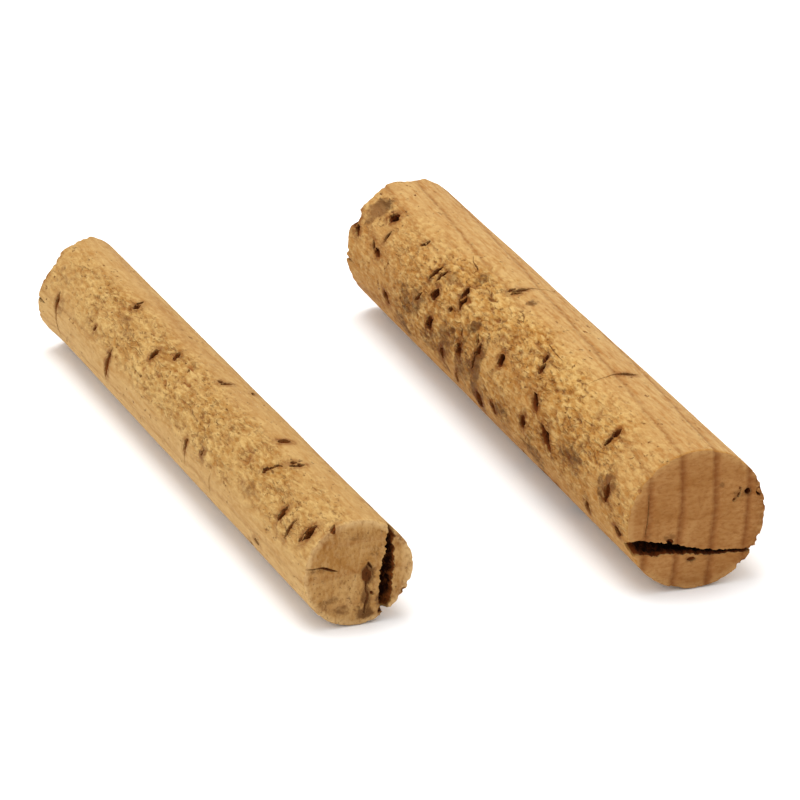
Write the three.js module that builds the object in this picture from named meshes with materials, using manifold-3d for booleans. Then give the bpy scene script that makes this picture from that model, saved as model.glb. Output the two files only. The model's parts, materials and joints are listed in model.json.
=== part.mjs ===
// A pair of plain round rods cut from natural cork bark, one thick and one thin, lying side by side.
// Millimetres, +Z up. The rods lie along +Y and their square-cut near ends face -Y.
// The group's origin is the middle of the pair's footprint, on the surface that the rods lie on.
import * as THREE from "three";
import { mergeVertices } from "three/addons/utils/BufferGeometryUtils.js";
import Module from "manifold-3d";

const wasm = await Module();
wasm.setup();

// Driving dimensions
const rodLength = 150; // both rods, along the axis
const thickDiameter = 26.5;
const thinDiameter = 20;
const nearAxisSpacing = 61.5; // between the two axes, at the near ends
const thinSetback = 5.5; // how far the thin rod's near end lies behind the thick one's
const thinYaw = 1.9; // degrees the thin rod is turned from the thick one, its far end outwards
const thickFarCut = 6; // degrees each far end is sawn out of square, longer on its +X side
const thinFarCut = 27;
const rimRadius = 0.4; // softened edge round each near end
const sides = 72; // flats round a rod
const corkBrown = 0xc89b60;
const corkGold = 0xd2a768;

// Each pit is the mouth of a lenticel. Its place is millimetres along the rod from the near end, and
// degrees round it from the top towards -X. Its mouth is long by wide, leaning by some degrees from
// the rod's length, and it goes deep millimetres into the cork.
const thickPits = [
  { along: 5, around: 100, long: 3.6, wide: 1.8, lean: 0, deep: 2 },
  { along: 10.5, around: 78, long: 3.8, wide: 2.2, lean: 90, deep: 2.5 },
  { along: 18.5, around: 41, long: 4.4, wide: 1.6, lean: 90, deep: 1.6 },
  { along: 20, around: 107, long: 3, wide: 2, lean: 70, deep: 1.6 },
  { along: 38, around: -9, long: 4, wide: 1.4, lean: 90, deep: 1.2 },
  { along: 40, around: 82, long: 7, wide: 2.4, lean: -27, deep: 2.8 },
  { along: 48, around: 64, long: 4.4, wide: 1.9, lean: -30, deep: 2.2 },
  { along: 51, around: 87, long: 3, wide: 2.4, lean: 70, deep: 2 },
  { along: 54, around: 38, long: 4.8, wide: 1.6, lean: -45, deep: 2 },
  { along: 67, around: 59, long: 3, wide: 2.3, lean: -30, deep: 1.8 },
  { along: 75, around: 108, long: 4.4, wide: 2.8, lean: 60, deep: 2.4 },
  { along: 84, around: 4, long: 4.6, wide: 1.8, lean: 90, deep: 1.6 },
  { along: 85, around: 80, long: 3.2, wide: 2.3, lean: -60, deep: 2.2 },
  { along: 93, around: 44, long: 5.6, wide: 2, lean: -60, deep: 2.4 },
  { along: 101, around: 82, long: 3.4, wide: 2.8, lean: 30, deep: 2 },
  { along: 103, around: 58, long: 3, wide: 2.4, lean: 30, deep: 2 },
  { along: 108, around: 45, long: 4, wide: 1.6, lean: 80, deep: 1.8 },
  { along: 125.5, around: 97, long: 3.4, wide: 2.2, lean: -40, deep: 1.8 },
  { along: 134, around: 67, long: 5.6, wide: 1.5, lean: -15, deep: 1.6 },
  { along: 136, around: 35, long: 3.6, wide: 2.4, lean: 0, deep: 1.5 },
];
const thinPits = [
  { along: 5, around: 46, long: 4.4, wide: 2.6, lean: 75, deep: 2.2 },
  { along: 11, around: 57, long: 4, wide: 1.3, lean: 90, deep: 1.6 },
  { along: 16, around: 51, long: 3.2, wide: 1.8, lean: 90, deep: 1.8 },
  { along: 27.5, around: 4, long: 3.6, wide: 2.2, lean: 50, deep: 1.8 },
  { along: 30, around: 27, long: 3.8, wide: 1.4, lean: 50, deep: 1.6 },
  { along: 38, around: -6, long: 2.8, wide: 1.8, lean: 90, deep: 1.4 },
  { along: 68.5, around: -4, long: 3.4, wide: 1.6, lean: 35, deep: 1.6 },
  { along: 85.5, around: 16, long: 3.2, wide: 1.4, lean: -40, deep: 1.6 },
  { along: 90.7, around: 34, long: 3.2, wide: 1.8, lean: -65, deep: 1.8 },
  { along: 105.5, around: 82, long: 6.5, wide: 1.8, lean: 85, deep: 2.2 },
  { along: 112, around: 8, long: 2.6, wide: 1.6, lean: -30, deep: 1.6 },
  { along: 136.5, around: 76, long: 5, wide: 1.5, lean: 90, deep: 1.8 },
];

// The split across each near end: its outline on the face, as [x, z] from the rod's axis, and its
// outline in plan, as [across, depth], where across is x on the thick rod and z on the thin one.
const thickSplit = {
  mouth: [
    [-15, -2.4],
    [-10.5, -2.4],
    [-5, -4.1],
    [0, -5.6],
    [6, -6.6],
    [15, -7],
    [15, -7.7],
    [6, -7.4],
    [0, -6.8],
    [-6, -6.1],
    [-11, -5.4],
    [-15, -5.2],
  ],
  plan: [
    [-15, 2],
    [-8, 7],
    [2, 9],
    [10, 6],
    [15, 3],
  ],
};
const thinSplit = {
  mouth: [
    [5.7, 12],
    [5.9, 8],
    [5.3, 4.8],
    [4.6, 2.4],
    [4, -3],
    [4, -6.4],
    [4.6, -12],
    [5.7, -12],
    [6.3, -6.6],
    [6.8, -2],
    [7.1, 2],
    [6.7, 8],
    [6.4, 12],
  ],
  plan: [
    [-12, 3],
    [-6, 8],
    [3, 9],
    [9, 4],
    [12, 1.5],
  ],
};

// A closed geometry as a solid for cutting.
function solidOf(geometry) {
  const shape = geometry.index ? geometry.toNonIndexed() : geometry.clone();
  shape.deleteAttribute("normal");
  shape.deleteAttribute("uv");
  const merged = mergeVertices(shape, 1e-4);
  return new wasm.Manifold(
    new wasm.Mesh({
      numProp: 3,
      vertProperties: new Float32Array(merged.attributes.position.array),
      triVerts: new Uint32Array(merged.index.array),
    }),
  );
}

// A solid back as a geometry that a THREE.Mesh can show.
function geometryOf(solid) {
  const mesh = solid.getMesh();
  const geometry = new THREE.BufferGeometry();
  geometry.setAttribute("position", new THREE.BufferAttribute(mesh.vertProperties, 3));
  geometry.setIndex(new THREE.BufferAttribute(mesh.triVerts, 1));
  const faceted = geometry.toNonIndexed();
  faceted.computeVertexNormals();
  return faceted;
}

// The turned blank, round the Y axis, from its near end at y = 0 past its far end.
function blank(radius, spare) {
  const end = rodLength + spare;
  const profile = [
    new THREE.Vector2(0, 0),
    new THREE.Vector2(radius - rimRadius, 0),
    new THREE.Vector2(radius - rimRadius * 0.3, rimRadius * 0.3),
    new THREE.Vector2(radius, rimRadius),
    new THREE.Vector2(radius, end),
    new THREE.Vector2(0, end),
  ];
  return solidOf(new THREE.LatheGeometry(profile, sides));
}

// What the saw takes off the far end: a block whose near face leans by cutAngle about Z.
function farOffcut(radius, cutAngle) {
  const size = radius * 4;
  const block = new THREE.BoxGeometry(size, size, size);
  block.translate(0, size / 2, 0);
  block.rotateZ(THREE.MathUtils.degToRad(cutAngle));
  block.translate(0, rodLength, 0);
  return solidOf(block);
}

// A pit is a stretched sphere sunk into the side. It is shaped with its long axis on Y and its
// depth on Z, leaned about Z, set on top of the rod, and turned round the rod's axis.
function pitSolid(pit, radius) {
  const drop = new THREE.SphereGeometry(1, 12, 8);
  const turn = THREE.MathUtils.degToRad(pit.around);
  drop.scale(pit.wide / 2, pit.long / 2, pit.deep);
  drop.rotateZ(THREE.MathUtils.degToRad(pit.lean));
  drop.translate(0, pit.along, radius);
  drop.rotateY(-turn);
  return solidOf(drop);
}

// An outline in the XZ plane, given a thickness along Y from fromY to toY.
function slabAcross(outline, fromY, toY) {
  const shape = new THREE.Shape(outline.map(([x, z]) => new THREE.Vector2(x, z)));
  const slab = new THREE.ExtrudeGeometry(shape, {
    depth: toY - fromY,
    bevelEnabled: false,
    steps: 1,
  });
  slab.rotateX(Math.PI / 2);
  slab.translate(0, toY, 0);
  return solidOf(slab);
}

// An outline in plan, closed in front of the near end, and as tall as the rod is wide.
function slabDown(plan, radius) {
  const front = -2;
  const back = plan.map(([across, depth]) => new THREE.Vector2(across, depth));
  const shape = new THREE.Shape([
    new THREE.Vector2(plan[0][0], front),
    new THREE.Vector2(plan.at(-1)[0], front),
    ...back.reverse(),
  ]);
  const height = radius * 3;
  const slab = new THREE.ExtrudeGeometry(shape, { depth: height, bevelEnabled: false });
  slab.translate(0, 0, -height / 2);
  return slab;
}

// The split in a near end: where its mouth, run straight in, meets its outline in plan.
function splitSolid(split, radius, upright) {
  const mouth = slabAcross(split.mouth, -2, rodLength / 4);
  const plan = slabDown(split.plan, radius);
  if (upright) plan.rotateY(-Math.PI / 2);
  return mouth.intersect(solidOf(plan));
}

// One finished rod lying along +Y, its lowest line on z = 0 and its near end at y = 0.
function rod(name, diameter, farCut, pits, split, upright, colour) {
  const radius = diameter / 2;
  let solid = blank(radius, radius).subtract(farOffcut(radius, farCut));
  for (const pit of pits) solid = solid.subtract(pitSolid(pit, radius));
  solid = solid.subtract(splitSolid(split, radius, upright));
  const material = new THREE.MeshStandardMaterial({ color: colour, roughness: 0.85, metalness: 0 });
  const mesh = new THREE.Mesh(geometryOf(solid), material);
  mesh.name = name;
  mesh.position.z = radius;
  return mesh;
}

const pair = new THREE.Group();

const thick = new THREE.Group();
thick.position.set(nearAxisSpacing / 2, 0, 0);
thick.add(rod("thick_rod", thickDiameter, thickFarCut, thickPits, thickSplit, false, corkBrown));
pair.add(thick);

const thin = new THREE.Group();
thin.position.set(-nearAxisSpacing / 2, thinSetback, 0);
thin.rotation.z = THREE.MathUtils.degToRad(thinYaw);
thin.add(rod("thin_rod", thinDiameter, thinFarCut, thinPits, thinSplit, true, corkGold));
pair.add(thin);

// The pair is moved so that its origin is the bottom centre of its own box.
const bounds = new THREE.Box3().setFromObject(pair, true);
const middle = bounds.getCenter(new THREE.Vector3());
pair.position.set(-middle.x, -middle.y, -bounds.min.z);

const group = new THREE.Group();
group.add(pair);

export default group;
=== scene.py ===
import json
import math
import random

import bmesh
import bpy
from mathutils import Matrix, Vector, kdtree, noise


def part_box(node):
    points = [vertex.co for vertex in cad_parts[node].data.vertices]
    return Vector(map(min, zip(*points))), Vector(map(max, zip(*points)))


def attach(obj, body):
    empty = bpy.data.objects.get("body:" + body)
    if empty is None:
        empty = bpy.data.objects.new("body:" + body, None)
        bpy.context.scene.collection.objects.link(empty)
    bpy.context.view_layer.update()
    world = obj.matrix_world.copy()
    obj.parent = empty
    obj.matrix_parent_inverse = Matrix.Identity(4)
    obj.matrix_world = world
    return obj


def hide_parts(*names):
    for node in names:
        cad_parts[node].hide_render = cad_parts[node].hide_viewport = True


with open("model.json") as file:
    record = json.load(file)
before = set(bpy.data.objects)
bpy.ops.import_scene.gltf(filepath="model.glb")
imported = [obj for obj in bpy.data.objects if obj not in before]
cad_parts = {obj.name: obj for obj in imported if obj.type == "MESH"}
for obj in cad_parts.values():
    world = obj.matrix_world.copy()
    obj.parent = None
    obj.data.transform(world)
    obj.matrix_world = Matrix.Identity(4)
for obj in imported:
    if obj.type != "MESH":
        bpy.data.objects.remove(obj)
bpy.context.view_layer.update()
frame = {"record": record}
print("frame loaded")

metresPerMm = 0.001
noise.seed_set(5)  # the same noise on every run

studio = {
    "azimuth": -19.9,
    "elevation": 22.1,
    "distance": 0.984,
    "lens": 229.5,
    "aim": (0.0126, 0.0207, 0.0),
    "surroundStrength": 1.0,
    "lights": {
        "overheadLight": {"place": (-0.08, 0.2, 1.15), "size": 0.7, "power": 8.6},
        "sideLight": {"place": (-1.0, -0.35, 0.6), "size": 0.8, "power": 2.0},
        "backLight": {"place": (0.8, 0.5, 0.6), "size": 0.6, "power": 1.5},
    },
    "cameraReach": 50,
    "floorSize": 2.8,
    "floorWhite": 0.93,
    "floorRoughness": 0.9,
    "floorShine": 0.1,
}


def setUpCamera():
    swing = math.radians(studio["azimuth"])
    climb = math.radians(studio["elevation"])
    flat = math.cos(climb)
    back = Vector((math.sin(swing) * flat, -math.cos(swing) * flat, math.sin(climb)))
    data = bpy.data.cameras.new("camera")
    data.lens = studio["lens"]
    data.clip_end = studio["cameraReach"]
    camera = bpy.data.objects.new("camera", data)
    camera.location = Vector(studio["aim"]) + back * studio["distance"]
    camera.rotation_euler = (-back).to_track_quat("-Z", "Y").to_euler()
    bpy.context.scene.collection.objects.link(camera)
    bpy.context.scene.camera = camera


def areaLight(name, light):
    data = bpy.data.lights.new(name, "AREA")
    data.size = light["size"]
    data.energy = light["power"]
    lamp = bpy.data.objects.new(name, data)
    lamp.location = light["place"]
    lamp.rotation_euler = Vector(light["place"]).to_track_quat("Z", "Y").to_euler()
    bpy.context.scene.collection.objects.link(lamp)


def setUpStudio():
    scene = bpy.context.scene
    scene.view_settings.view_transform = "Standard"
    world = bpy.data.worlds.new("surround")
    world.use_nodes = True
    background = world.node_tree.nodes["Background"]
    background.inputs["Color"].default_value = (1, 1, 1, 1)
    background.inputs["Strength"].default_value = studio["surroundStrength"]
    scene.world = world
    for name, light in studio["lights"].items():
        areaLight(name, light)
    bm = bmesh.new()
    bmesh.ops.create_grid(bm, x_segments=1, y_segments=1, size=studio["floorSize"] / 2)
    floor = meshObject(bm, "floor")
    paper = bpy.data.materials.new("floorPaper")
    paper.use_nodes = True
    shader = paper.node_tree.nodes["Principled BSDF"]
    white = studio["floorWhite"]
    shader.inputs["Base Color"].default_value = (white, white, white, 1)
    shader.inputs["Roughness"].default_value = studio["floorRoughness"]
    shader.inputs["Specular IOR Level"].default_value = studio["floorShine"]
    floor.data.materials.append(paper)


def meshObject(bm, name):
    mesh = bpy.data.meshes.new(name)
    bm.to_mesh(mesh)
    bm.free()
    made = bpy.data.objects.new(name, mesh)
    bpy.context.scene.collection.objects.link(made)
    return made


def smoothStep(low, high, value):
    t = min(1.0, max(0.0, (value - low) / (high - low)))
    return t * t * (3 - 2 * t)


setUpCamera()
setUpStudio()
print("studio ready")

# Shader helpers. Patterns are drawn in millimetres, so a noise's scale is in lumps per millimetre.


def feed(tree, socket, value):
    # another node's output is linked to the socket, and a plain value is set on it
    if isinstance(value, bpy.types.NodeSocket):
        tree.links.new(value, socket)
    else:
        socket.default_value = value


def addNode(tree, kind, sockets=None, **settings):
    node = tree.nodes.new(kind)
    for key, value in settings.items():
        setattr(node, key, value)
    for socket, value in (sockets or {}).items():
        feed(tree, node.inputs[socket], value)
    return node


def mathNode(tree, operation, first, second=0.0, third=0.0):
    sockets = {0: first, 1: second, 2: third}
    return addNode(tree, "ShaderNodeMath", sockets, operation=operation).outputs[0]


def vectorMath(tree, operation, first, second=(0, 0, 0)):
    node = addNode(tree, "ShaderNodeVectorMath", {0: first, 1: second}, operation=operation)
    return node.outputs["Value" if operation == "LENGTH" else "Vector"]


def ramp(tree, value, low, high, fromLow=0.0, fromHigh=1.0):
    # an easing slope: fromLow where the value is low, fromHigh where it is high
    sockets = {"Value": value, "From Min": low, "From Max": high, "To Min": fromLow, "To Max": fromHigh}
    node = addNode(tree, "ShaderNodeMapRange", sockets, interpolation_type="SMOOTHSTEP")
    return node.outputs["Result"]


def noiseValue(tree, vector, scale, detail=2.0, roughness=0.5, distortion=0.0):
    node = addNode(tree, "ShaderNodeTexNoise", {
        "Vector": vector, "Scale": scale, "Detail": detail, "Roughness": roughness, "Distortion": distortion})
    return node.outputs["Fac"]


def mixColour(tree, factor, first, second):
    sockets = {0: factor, 6: first, 7: second}  # the colour sockets of a node that mixes other kinds too
    return addNode(tree, "ShaderNodeMix", sockets, data_type="RGBA").outputs[2]


floatKind, vectorKind = "NodeSocketFloat", "NodeSocketVector"


def newGroup(name, inputs, outputs):
    tree = bpy.data.node_groups.new(name, "ShaderNodeTree")
    for socket, kind, value in inputs:
        made = tree.interface.new_socket(socket, in_out="INPUT", socket_type=kind)
        made.default_value = value
    for socket in outputs:
        tree.interface.new_socket(socket, in_out="OUTPUT", socket_type=floatKind)
    given = tree.nodes.new("NodeGroupInput").outputs
    return tree, given, tree.nodes.new("NodeGroupOutput").inputs


def placeGroup(tree, group, sockets):
    return addNode(tree, "ShaderNodeGroup", sockets, node_tree=group).outputs


def growthRingGroup():
    # rings round the tree's pith: a thin dark line at each ring's end, and the tone across each ring
    tree, given, out = newGroup(
        "growthRings",
        [("Vector", vectorKind, (0, 0, 0)), ("Pith", vectorKind, (-130, 0, 0)), ("Lean", floatKind, 0.0),
         ("Spacing", floatKind, 6.5), ("Waver", floatKind, 1.0), ("Line Width", floatKind, 0.6)],
        ["Line", "Tone"],
    )
    fromPith = vectorMath(tree, "SUBTRACT", given["Vector"], given["Pith"])
    split = addNode(tree, "ShaderNodeSeparateXYZ", {0: fromPith}).outputs
    flat = addNode(tree, "ShaderNodeCombineXYZ", {0: split[0], 2: split[2]}).outputs[0]
    reach = vectorMath(tree, "LENGTH", flat)
    leaned = mathNode(tree, "MULTIPLY_ADD", split[1], given["Lean"], reach)
    slow = mathNode(tree, "SUBTRACT", noiseValue(tree, given["Vector"], 0.08, 1.0), 0.5)
    quick = mathNode(tree, "SUBTRACT", noiseValue(tree, given["Vector"], 0.8, 3.0), 0.5)
    place = mathNode(tree, "MULTIPLY_ADD", slow, given["Waver"], leaned)
    place = mathNode(tree, "MULTIPLY_ADD", quick, 0.8, place)
    turns = mathNode(tree, "FRACT", mathNode(tree, "DIVIDE", place, given["Spacing"]))
    after = mathNode(tree, "MULTIPLY", turns, given["Spacing"])
    before = mathNode(tree, "SUBTRACT", given["Spacing"], after)
    near = mathNode(tree, "MINIMUM", mathNode(tree, "MULTIPLY", after, 0.7), before)
    line = mathNode(tree, "SUBTRACT", 1.0, mathNode(tree, "DIVIDE", near, given["Line Width"]))
    tree.links.new(mathNode(tree, "MAXIMUM", line, 0.0), out["Line"])
    tree.links.new(turns, out["Tone"])
    return tree


def crackLines(tree, vector, scale, width, breakScale):
    # short crooked lines: where a noise crosses its middle, kept only in patches
    level = noiseValue(tree, vector, scale, 2.0, 0.5, 0.7)
    away = mathNode(tree, "ABSOLUTE", mathNode(tree, "SUBTRACT", level, 0.5))
    kept = ramp(tree, noiseValue(tree, vector, breakScale, 1.0), 0.42, 0.6)
    return mathNode(tree, "MULTIPLY", ramp(tree, away, width, 0.0), kept)


def corkFleshGroup():
    # the body of cork: slow mottling, long fibres, packed crumbs and the crevices between them
    tree, given, out = newGroup(
        "corkFlesh",
        [("Vector", vectorKind, (0, 0, 0)), ("Streak", vectorKind, (1, 0.4, 1)), ("Torn", floatKind, 0.5)],
        ["Mottle", "Fibre", "Crumb", "Crease", "Dash", "Height"],
    )
    drawn = vectorMath(tree, "MULTIPLY", given["Vector"], given["Streak"])
    combed = vectorMath(tree, "MULTIPLY", drawn, (1.8, 0.3, 1.8))
    shifted = vectorMath(tree, "ADD", drawn, (31, 7, 13))
    mottle = noiseValue(tree, drawn, 0.2, 4.0, 0.6)
    fibre = noiseValue(tree, combed, 1.0, 4.0, 0.6)
    crumb = noiseValue(tree, drawn, 1.2, 4.0, 0.6, 0.25)
    grit = noiseValue(tree, drawn, 3.6, 2.0, 0.6)
    dash = ramp(tree, noiseValue(tree, shifted, 1.5, 3.0, 0.55, 0.2), 0.55, 0.68)
    dash = mathNode(tree, "MULTIPLY", dash, ramp(tree, noiseValue(tree, shifted, 0.3, 1.0), 0.35, 0.6))
    dash = mathNode(tree, "MULTIPLY", dash, given["Torn"])
    crease = mathNode(tree, "MULTIPLY", crackLines(tree, drawn, 0.62, 0.12, 0.3), given["Torn"])
    torn = mathNode(tree, "MULTIPLY_ADD", given["Torn"], 0.8, 0.2)
    rough = mathNode(tree, "MULTIPLY_ADD", dash, -0.5, mathNode(tree, "MULTIPLY", crumb, torn))
    rough = mathNode(tree, "MULTIPLY_ADD", crease, -0.4, rough)
    rough = mathNode(tree, "MULTIPLY_ADD", grit, 0.22, rough)
    height = mathNode(tree, "MULTIPLY_ADD", fibre, 0.15, rough)
    results = {
        "Mottle": mottle, "Fibre": fibre, "Crumb": crumb,
        "Crease": crease, "Dash": dash, "Height": height,
    }
    for name, value in results.items():
        tree.links.new(value, out[name])
    return tree


def corkFleckGroup():
    # small dark lenticel flecks, gathered in patches
    tree, given, out = newGroup(
        "corkFlecks",
        [("Vector", vectorKind, (0, 0, 0)), ("Streak", vectorKind, (1, 0.6, 1)), ("Amount", floatKind, 0.5)],
        ["Flecks"],
    )
    drawn = vectorMath(tree, "MULTIPLY", given["Vector"], given["Streak"])
    patch = ramp(tree, noiseValue(tree, given["Vector"], 0.15, 2.0), 0.42, 0.6)
    spread = noiseValue(tree, drawn, 1.2, 3.0, 0.6)
    high = mathNode(tree, "MULTIPLY_ADD", given["Amount"], -0.14, 0.76)
    low = mathNode(tree, "SUBTRACT", high, 0.07)
    thinned = mathNode(tree, "MULTIPLY_ADD", patch, 0.75, 0.25)
    fleck = mathNode(tree, "MULTIPLY", ramp(tree, spread, low, high), thinned)
    tree.links.new(fleck, out["Flecks"])
    return tree


ringGroup = growthRingGroup()
fleshGroup = corkFleshGroup()
fleckGroup = corkFleckGroup()
print("shader groups ready")

tentDim = 0.62  # darkens the palette, because the surround and lamps together are brighter than white
screenKnee = 0.04045  # below this, a screen colour is a straight line


def colour(red, green, blue):
    # a screen colour from 0 to 255 as the linear colour that Blender works in
    def linear(value):
        value = value / 255
        return value / 12.92 if value <= screenKnee else ((value + 0.055) / 1.055) ** 2.4

    return (linear(red) * tentDim, linear(green) * tentDim, linear(blue) * tentDim, 1)


def rodVector(tree, rod):
    # the rod's own millimetres, from the middle of its near end: x across, y along, z up
    spin = Matrix.Rotation(-rod["yaw"], 3, "Z")
    place = addNode(tree, "ShaderNodeTexCoord").outputs["Object"]
    sockets = {"Vector": place, "Location": -(spin @ rod["nearEnd"]), "Rotation": (0, 0, -rod["yaw"])}
    turned = addNode(tree, "ShaderNodeMapping", sockets, vector_type="POINT").outputs[0]
    sockets = {0: turned, "Scale": 1 / metresPerMm}
    return addNode(tree, "ShaderNodeVectorMath", sockets, operation="SCALE").outputs[0]


def surfaceValue(tree, name):
    return addNode(tree, "ShaderNodeAttribute", attribute_name=name).outputs["Fac"]


def corkMaterial(name, rod, look):
    material = bpy.data.materials.new(name)
    material.use_nodes = True
    tree = material.node_tree
    shader = tree.nodes["Principled BSDF"]

    def layer(below, mask, strength, above):
        return mixColour(tree, mathNode(tree, "MULTIPLY", mask, strength), below, above)

    vector = rodVector(tree, rod)
    torn = surfaceValue(tree, "torn")
    hollow = surfaceValue(tree, "hollow")
    rings = placeGroup(tree, ringGroup, {
        "Vector": vector, "Pith": rod["pith"], "Lean": rod["ringLean"],
        "Spacing": rod["ringSpacing"], "Waver": rod["ringWaver"], "Line Width": look["lineWidth"]})
    flesh = placeGroup(tree, fleshGroup, {"Vector": vector, "Streak": look["streak"], "Torn": torn})
    flecks = placeGroup(tree, fleckGroup, {
        "Vector": vector, "Streak": look["fleckStreak"], "Amount": look["fleckAmount"]})["Flecks"]
    smooth = mathNode(tree, "SUBTRACT", 1.0, torn)
    someTorn = mathNode(tree, "MULTIPLY_ADD", torn, 0.65, 0.35)
    # the flesh and its rings
    body = mixColour(tree, ramp(tree, flesh["Mottle"], 0.3, 0.7), look["deep"], look["pale"])
    body = layer(body, smooth, look["skinStrength"], look["skin"])
    # painted light and shade: a band along the left side, painted paler on the thin rod and darker on the
    # thick rod, and a painted highlight along the near faces' rims
    body = layer(body, surfaceValue(tree, "paintedLightAndShade"), 1.0, look["paintedLightAndShade"])
    warm = mathNode(tree, "MULTIPLY", ramp(tree, rings["Tone"], 0.3, 0.0), smooth)
    body = layer(body, warm, look["toneStrength"], look["ringWarm"])
    fibreMask = mathNode(tree, "MULTIPLY", ramp(tree, flesh["Fibre"], 0.56, 0.34), smooth)
    body = layer(body, fibreMask, look["fibreStrength"], look["grainAndCrumbShade"])
    ringMask = mathNode(tree, "MULTIPLY", rings["Line"], smooth)
    body = layer(body, ringMask, look["lineStrength"], look["ringLine"])
    # crumbs, with painted shade in the hollows between them and a painted highlight on their tops over their
    # own colour; crevices and furrows; and flecks
    low = mathNode(tree, "MULTIPLY", ramp(tree, flesh["Crumb"], 0.48, 0.3), someTorn)
    body = layer(body, low, look["crumbShadeStrength"], look["grainAndCrumbShade"])
    high = mathNode(tree, "MULTIPLY", ramp(tree, flesh["Crumb"], 0.44, 0.66), someTorn)
    body = layer(body, high, look["crumbHighlightStrength"], look["light"])
    # crevices, dashes and furrows: the crevices' browner colour, with painted shade down in them
    body = layer(body, flesh["Crease"], look["creaseStrength"], look["crease"])
    body = layer(body, flesh["Dash"], look["dashStrength"], look["grooveBrownAndShade"])
    furrow = ramp(tree, surfaceValue(tree, "groove"), 0.25, 1.0)
    body = layer(body, furrow, look["grooveStrength"], look["grooveBrownAndShade"])
    body = layer(body, flecks, look["fleckStrength"], look["fleckBrown"])
    # grey weathering and the brown round the pits
    edge = noiseValue(tree, vectorMath(tree, "MULTIPLY", vector, (1, 0.6, 1)), 0.9, 5.0, 0.7, 0.6)
    grey = surfaceValue(tree, "stain")
    patches = ramp(tree, mathNode(tree, "MULTIPLY_ADD", grey, 0.7, edge), 0.62, 1.05)
    charcoal = mixColour(tree, ramp(tree, flesh["Mottle"], 0.35, 0.65), look["charcoal"], look["smoke"])
    weathered = mathNode(tree, "MULTIPLY", patches, ramp(tree, grey, 0.0, 0.35))
    body = layer(body, weathered, look["stainStrength"], charcoal)
    halo = mathNode(tree, "MULTIPLY", surfaceValue(tree, "halo"), ramp(tree, edge, 0.3, 0.6))
    body = layer(body, halo, look["haloStrength"], look["pitRust"])
    # pit walls: red brown at the lip, with black blotches and painted shade that deepens further in
    blotch = noiseValue(tree, vector, 0.9, 4.0, 0.65)
    depth = mathNode(tree, "MULTIPLY_ADD", hollow, 0.32, mathNode(tree, "MULTIPLY", blotch, 1.2))
    wall = mixColour(tree, ramp(tree, depth, 0.7, 1.2), look["pitBrown"], look["pitBlackAndShade"])
    body = mixColour(tree, ramp(tree, hollow, 0.0, 0.35), body, wall)
    tree.links.new(body, shader.inputs["Base Color"])
    roughness = ramp(tree, flesh["Crumb"], 0.3, 0.7, look["roughest"], look["smoothest"])
    tree.links.new(roughness, shader.inputs["Roughness"])
    shader.inputs["Specular IOR Level"].default_value = look["specular"]
    shader.inputs["Sheen Weight"].default_value = look["dust"]
    shader.inputs["Sheen Roughness"].default_value = look["dustRoughness"]
    # relief too fine for the mesh
    height = mathNode(tree, "MULTIPLY_ADD", flecks, -0.6, flesh["Height"])
    height = mathNode(tree, "MULTIPLY_ADD", rings["Line"], -0.2, height)
    bump = addNode(tree, "ShaderNodeBump", {
        "Height": height, "Strength": look["bumpStrength"], "Distance": look["bumpDepth"] * metresPerMm})
    tree.links.new(bump.outputs["Normal"], shader.inputs["Normal"])
    return material


# Rod making, in millimetres from the middle of the rod's near end: x across, y along, z up.
# A place on the side is (along, around), around in degrees from the top towards -x.


def outward(around):
    turn = math.radians(around)
    return Vector((-math.sin(turn), 0, math.cos(turn)))


def sidePoint(rod, along, around, lift=0.0):
    return outward(around) * (rod["radius"] + lift) + Vector((0, along, 0))


def farFace(rod, across):
    return rod["length"] + math.tan(math.radians(rod["farCut"])) * across


weldGap = 0.0005  # points of the spun profile that are closer than this are the same point


def turnBlank(rod):
    # a profile spun round the rod's axis: near face, softened rim, side, rim, far face
    radius, length, soft = rod["radius"], rod["length"], rod["rimSoftness"]
    faceSteps, sideSteps = rod["faceSteps"], rod["sideSteps"]
    flat = [(radius - soft - 0.1) * i / faceSteps for i in range(faceSteps + 1)] + [radius - soft]
    rim = [(radius - soft * 0.3, soft * 0.3)]  # one point on the rounded corner
    side = [soft + (length - 2 * soft) * i / sideSteps for i in range(sideSteps + 1)]
    profile = [(r, 0) for r in flat] + rim + [(radius, y) for y in side]
    profile += [(r, length - y) for r, y in rim] + [(r, length) for r in reversed(flat)]
    bm = bmesh.new()
    verts = [bm.verts.new((r, y, 0)) for r, y in profile]
    edges = [bm.edges.new(pair) for pair in zip(verts, verts[1:])]
    bmesh.ops.spin(
        bm, geom=verts + edges, cent=(0, 0, 0), axis=(0, 1, 0), angle=2 * math.pi,
        steps=rod["aroundSteps"], use_merge=True, use_duplicate=False)
    bmesh.ops.remove_doubles(bm, verts=bm.verts, dist=weldGap)
    bmesh.ops.recalc_face_normals(bm, faces=bm.faces)
    return bm


def turnBetween(first, second):
    return (first - second + 180) % 360 - 180


def spotFade(away):
    # full in the middle of a soft spot, and gone a little way past its edge at 1
    return smoothStep(1.6, 0.3, away)


def spotStrength(rod, spots, along, around):
    # the strongest of some soft spots of (along, around, half length, half height, strength),
    # whose outlines wander
    perDegree = rod["radius"] * math.pi / 180
    place = sidePoint(rod, along, around)
    wander = 1 + 0.6 * noise.noise(place * 0.22) + 0.5 * noise.noise(place * 0.6)
    best = 0.0
    for spotAlong, spotAround, longWay, tall, strength in spots:
        offAround = turnBetween(around, spotAround) * perDegree
        away = wander * math.hypot((along - spotAlong) / longWay, offAround / tall)
        best = max(best, strength * spotFade(away))
    return best


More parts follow.
